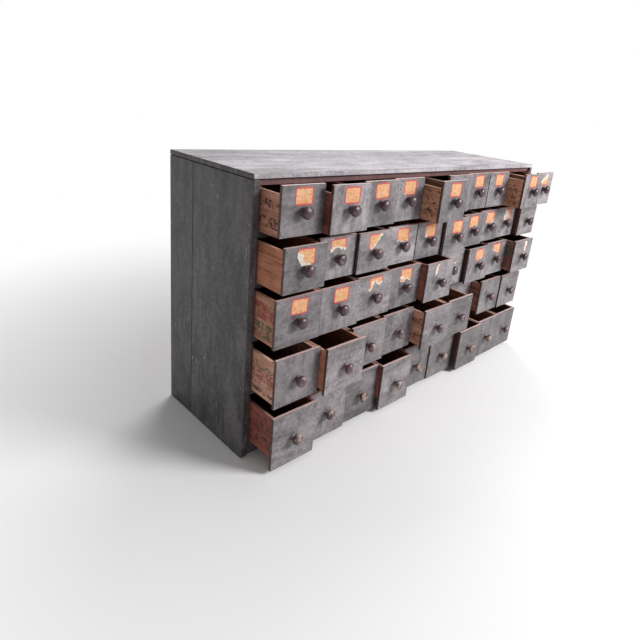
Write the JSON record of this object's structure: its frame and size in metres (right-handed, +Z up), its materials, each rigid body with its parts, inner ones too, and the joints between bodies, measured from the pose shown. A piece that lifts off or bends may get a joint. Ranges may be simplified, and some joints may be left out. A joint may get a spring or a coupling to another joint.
{
  "type": "parts cabinet",
  "caption": "Wide, low wooden parts cabinet: a nailed carcass whose shelves carry rows of small knobbed drawers, most of them partly open.",
  "frame": {"origin": "middle of the carcass's base, on the floor", "axes": "+X along the width, to the right as seen from the drawer fronts; -Y out of the drawer fronts; +Z up"},
  "size_m": [1.242, 0.4985, 0.697],
  "materials": {
    "grey_paint": "worn dark grey paint",
    "stained_pine": "bare wood, darkened red-brown",
    "drawer_wood": "grey painted front, bare box"
  },
  "bodies": {
    "carcass": {"top_boards": "grey_paint", "side_boards_left": "grey_paint", "side_boards_right": "grey_paint", "side_liners": "stained_pine", "bottom_board": "stained_pine", "top_rail": "stained_pine", "base_rail": "grey_paint", "base_bearers": "stained_pine", "back_boards": "stained_pine", "shelf_1": "stained_pine", "shelf_2": "stained_pine", "shelf_3": "stained_pine", "shelf_4": "stained_pine"},
    "drawer_row1_01": {"drawer_row1_01": "drawer_wood"},
    "drawer_row1_02": {"drawer_row1_02": "drawer_wood"},
    "drawer_row1_03": {"drawer_row1_03": "drawer_wood"},
    "drawer_row1_04": {"drawer_row1_04": "drawer_wood"},
    "drawer_row1_05": {"drawer_row1_05": "drawer_wood"},
    "drawer_row1_06": {"drawer_row1_06": "drawer_wood"},
    "drawer_row1_07": {"drawer_row1_07": "drawer_wood"},
    "drawer_row1_08": {"drawer_row1_08": "drawer_wood"},
    "drawer_row1_09": {"drawer_row1_09": "drawer_wood"},
    "drawer_row1_10": {"drawer_row1_10": "drawer_wood"},
    "drawer_row2_01": {"drawer_row2_01": "drawer_wood"},
    "drawer_row2_02": {"drawer_row2_02": "drawer_wood"},
    "drawer_row2_03": {"drawer_row2_03": "drawer_wood"},
    "drawer_row2_04": {"drawer_row2_04": "drawer_wood"},
    "drawer_row2_05": {"drawer_row2_05": "drawer_wood"},
    "drawer_row2_06": {"drawer_row2_06": "drawer_wood"},
    "drawer_row2_07": {"drawer_row2_07": "drawer_wood"},
    "drawer_row2_08": {"drawer_row2_08": "drawer_wood"},
    "drawer_row2_09": {"drawer_row2_09": "drawer_wood"},
    "drawer_row2_10": {"drawer_row2_10": "drawer_wood"},
    "drawer_row3_01": {"drawer_row3_01": "drawer_wood"},
    "drawer_row3_02": {"drawer_row3_02": "drawer_wood"},
    "drawer_row3_03": {"drawer_row3_03": "drawer_wood"},
    "drawer_row3_04": {"drawer_row3_04": "drawer_wood"},
    "drawer_row3_05": {"drawer_row3_05": "drawer_wood"},
    "drawer_row3_06": {"drawer_row3_06": "drawer_wood"},
    "drawer_row3_07": {"drawer_row3_07": "drawer_wood"},
    "drawer_row3_08": {"drawer_row3_08": "drawer_wood"},
    "drawer_row3_09": {"drawer_row3_09": "drawer_wood"},
    "drawer_row4_01": {"drawer_row4_01": "drawer_wood"},
    "drawer_row4_02": {"drawer_row4_02": "drawer_wood"},
    "drawer_row4_03": {"drawer_row4_03": "drawer_wood"},
    "drawer_row4_04": {"drawer_row4_04": "drawer_wood"},
    "drawer_row4_05": {"drawer_row4_05": "drawer_wood"},
    "drawer_row4_06": {"drawer_row4_06": "drawer_wood"},
    "drawer_row4_07": {"drawer_row4_07": "drawer_wood"},
    "drawer_row4_08": {"drawer_row4_08": "drawer_wood"},
    "drawer_row4_09": {"drawer_row4_09": "drawer_wood"},
    "drawer_row5_01": {"drawer_row5_01": "drawer_wood"},
    "drawer_row5_02": {"drawer_row5_02": "drawer_wood"},
    "drawer_row5_03": {"drawer_row5_03": "drawer_wood"},
    "drawer_row5_04": {"drawer_row5_04": "drawer_wood"},
    "drawer_row5_05": {"drawer_row5_05": "drawer_wood"},
    "drawer_row5_06": {"drawer_row5_06": "drawer_wood"},
    "drawer_row5_07": {"drawer_row5_07": "drawer_wood"},
    "drawer_row5_08": {"drawer_row5_08": "drawer_wood"},
    "drawer_row5_09": {"drawer_row5_09": "drawer_wood"}
  },
  "joints": [
    {"name": "drawer_row1_01_slide", "type": "slide", "parent": "carcass", "child": "drawer_row1_01", "axis": [0, -1, 0], "range_m": [-0.066, 0.1755]},
    {"name": "drawer_row1_02_slide", "type": "slide", "parent": "carcass", "child": "drawer_row1_02", "axis": [0, -1, 0], "range_m": [-0.09, 0.1515]},
    {"name": "drawer_row1_03_slide", "type": "slide", "parent": "carcass", "child": "drawer_row1_03", "axis": [0, -1, 0], "range_m": [-0.073, 0.1685]},
    {"name": "drawer_row1_04_slide", "type": "slide", "parent": "carcass", "child": "drawer_row1_04", "axis": [0, -1, 0], "range_m": [-0.062, 0.1795]},
    {"name": "drawer_row1_05_slide", "type": "slide", "parent": "carcass", "child": "drawer_row1_05", "axis": [0, -1, 0], "range_m": [-0.122, 0.1195]},
    {"name": "drawer_row1_06_slide", "type": "slide", "parent": "carcass", "child": "drawer_row1_06", "axis": [0, -1, 0], "range_m": [-0.06, 0.1815]},
    {"name": "drawer_row1_07_slide", "type": "slide", "parent": "carcass", "child": "drawer_row1_07", "axis": [0, -1, 0], "range_m": [-0.049, 0.1925]},
    {"name": "drawer_row1_08_slide", "type": "slide", "parent": "carcass", "child": "drawer_row1_08", "axis": [0, -1, 0], "range_m": [-0.05, 0.1915]},
    {"name": "drawer_row1_09_slide", "type": "slide", "parent": "carcass", "child": "drawer_row1_09", "axis": [0, -1, 0], "range_m": [-0.109, 0.1325]},
    {"name": "drawer_row1_10_slide", "type": "slide", "parent": "carcass", "child": "drawer_row1_10", "axis": [0, -1, 0], "range_m": [-0.093, 0.1485]},
    {"name": "drawer_row2_01_slide", "type": "slide", "parent": "carcass", "child": "drawer_row2_01", "axis": [0, -1, 0], "range_m": [-0.088, 0.1535]},
    {"name": "drawer_row2_02_slide", "type": "slide", "parent": "carcass", "child": "drawer_row2_02", "axis": [0, -1, 0], "range_m": [-0.062, 0.1795]},
    {"name": "drawer_row2_03_slide", "type": "slide", "parent": "carcass", "child": "drawer_row2_03", "axis": [0, -1, 0], "range_m": [-0.071, 0.1705]},
    {"name": "drawer_row2_04_slide", "type": "slide", "parent": "carcass", "child": "drawer_row2_04", "axis": [0, -1, 0], "range_m": [-0.061, 0.1805]},
    {"name": "drawer_row2_05_slide", "type": "slide", "parent": "carcass", "child": "drawer_row2_05", "axis": [0, -1, 0], "range_m": [-0.062, 0.1795]},
    {"name": "drawer_row2_06_slide", "type": "slide", "parent": "carcass", "child": "drawer_row2_06", "axis": [0, -1, 0], "range_m": [-0.073, 0.1685]},
    {"name": "drawer_row2_07_slide", "type": "slide", "parent": "carcass", "child": "drawer_row2_07", "axis": [0, -1, 0], "range_m": [-0.055, 0.1865]},
    {"name": "drawer_row2_08_slide", "type": "slide", "parent": "carcass", "child": "drawer_row2_08", "axis": [0, -1, 0], "range_m": [-0.043, 0.1985]},
    {"name": "drawer_row2_09_slide", "type": "slide", "parent": "carcass", "child": "drawer_row2_09", "axis": [0, -1, 0], "range_m": [-0.038, 0.2035]},
    {"name": "drawer_row2_10_slide", "type": "slide", "parent": "carcass", "child": "drawer_row2_10", "axis": [0, -1, 0], "range_m": [-0.059, 0.1825]},
    {"name": "drawer_row3_01_slide", "type": "slide", "parent": "carcass", "child": "drawer_row3_01", "axis": [0, -1, 0], "range_m": [-0.071, 0.1705]},
    {"name": "drawer_row3_02_slide", "type": "slide", "parent": "carcass", "child": "drawer_row3_02", "axis": [0, -1, 0], "range_m": [-0.069, 0.1725]},
    {"name": "drawer_row3_03_slide", "type": "slide", "parent": "carcass", "child": "drawer_row3_03", "axis": [0, -1, 0], "range_m": [-0.06, 0.1815]},
    {"name": "drawer_row3_04_slide", "type": "slide", "parent": "carcass", "child": "drawer_row3_04", "axis": [0, -1, 0], "range_m": [-0.055, 0.1865]},
    {"name": "drawer_row3_05_slide", "type": "slide", "parent": "carcass", "child": "drawer_row3_05", "axis": [0, -1, 0], "range_m": [-0.079, 0.1625]},
    {"name": "drawer_row3_06_slide", "type": "slide", "parent": "carcass", "child": "drawer_row3_06", "axis": [0, -1, 0], "range_m": [-0.03, 0.2115]},
    {"name": "drawer_row3_07_slide", "type": "slide", "parent": "carcass", "child": "drawer_row3_07", "axis": [0, -1, 0], "range_m": [-0.048, 0.1935]},
    {"name": "drawer_row3_08_slide", "type": "slide", "parent": "carcass", "child": "drawer_row3_08", "axis": [0, -1, 0], "range_m": [-0.036, 0.2055]},
    {"name": "drawer_row3_09_slide", "type": "slide", "parent": "carcass", "child": "drawer_row3_09", "axis": [0, -1, 0], "range_m": [-0.071, 0.1705]},
    {"name": "drawer_row4_01_slide", "type": "slide", "parent": "carcass", "child": "drawer_row4_01", "axis": [0, -1, 0], "range_m": [-0.084, 0.1575]},
    {"name": "drawer_row4_02_slide", "type": "slide", "parent": "carcass", "child": "drawer_row4_02", "axis": [0, -1, 0], "range_m": [-0.108, 0.1335]},
    {"name": "drawer_row4_03_slide", "type": "slide", "parent": "carcass", "child": "drawer_row4_03", "axis": [0, -1, 0], "range_m": [-0.061, 0.1805]},
    {"name": "drawer_row4_04_slide", "type": "slide", "parent": "carcass", "child": "drawer_row4_04", "axis": [0, -1, 0], "range_m": [-0.052, 0.1895]},
    {"name": "drawer_row4_05_slide", "type": "slide", "parent": "carcass", "child": "drawer_row4_05", "axis": [0, -1, 0], "range_m": [-0.096, 0.1455]},
    {"name": "drawer_row4_06_slide", "type": "slide", "parent": "carcass", "child": "drawer_row4_06", "axis": [0, -1, 0], "range_m": [-0.089, 0.1525]},
    {"name": "drawer_row4_07_slide", "type": "slide", "parent": "carcass", "child": "drawer_row4_07", "axis": [0, -1, 0], "range_m": [0, 0.2415]},
    {"name": "drawer_row4_08_slide", "type": "slide", "parent": "carcass", "child": "drawer_row4_08", "axis": [0, -1, 0], "range_m": [-0.042, 0.1995]},
    {"name": "drawer_row4_09_slide", "type": "slide", "parent": "carcass", "child": "drawer_row4_09", "axis": [0, -1, 0], "range_m": [-0.047, 0.1945]},
    {"name": "drawer_row5_01_slide", "type": "slide", "parent": "carcass", "child": "drawer_row5_01", "axis": [0, -1, 0], "range_m": [-0.088, 0.1535]},
    {"name": "drawer_row5_02_slide", "type": "slide", "parent": "carcass", "child": "drawer_row5_02", "axis": [0, -1, 0], "range_m": [-0.062, 0.1795]},
    {"name": "drawer_row5_03_slide", "type": "slide", "parent": "carcass", "child": "drawer_row5_03", "axis": [0, -1, 0], "range_m": [-0.055, 0.1865]},
    {"name": "drawer_row5_04_slide", "type": "slide", "parent": "carcass", "child": "drawer_row5_04", "axis": [0, -1, 0], "range_m": [-0.072, 0.1695]},
    {"name": "drawer_row5_05_slide", "type": "slide", "parent": "carcass", "child": "drawer_row5_05", "axis": [0, -1, 0], "range_m": [-0.043, 0.1985]},
    {"name": "drawer_row5_06_slide", "type": "slide", "parent": "carcass", "child": "drawer_row5_06", "axis": [0, -1, 0], "range_m": [-0.047, 0.1945]},
    {"name": "drawer_row5_07_slide", "type": "slide", "parent": "carcass", "child": "drawer_row5_07", "axis": [0, -1, 0], "range_m": [-0.072, 0.1695]},
    {"name": "drawer_row5_08_slide", "type": "slide", "parent": "carcass", "child": "drawer_row5_08", "axis": [0, -1, 0], "range_m": [-0.061, 0.1805]},
    {"name": "drawer_row5_09_slide", "type": "slide", "parent": "carcass", "child": "drawer_row5_09", "axis": [0, -1, 0], "range_m": [-0.059, 0.1825]}
  ]
}
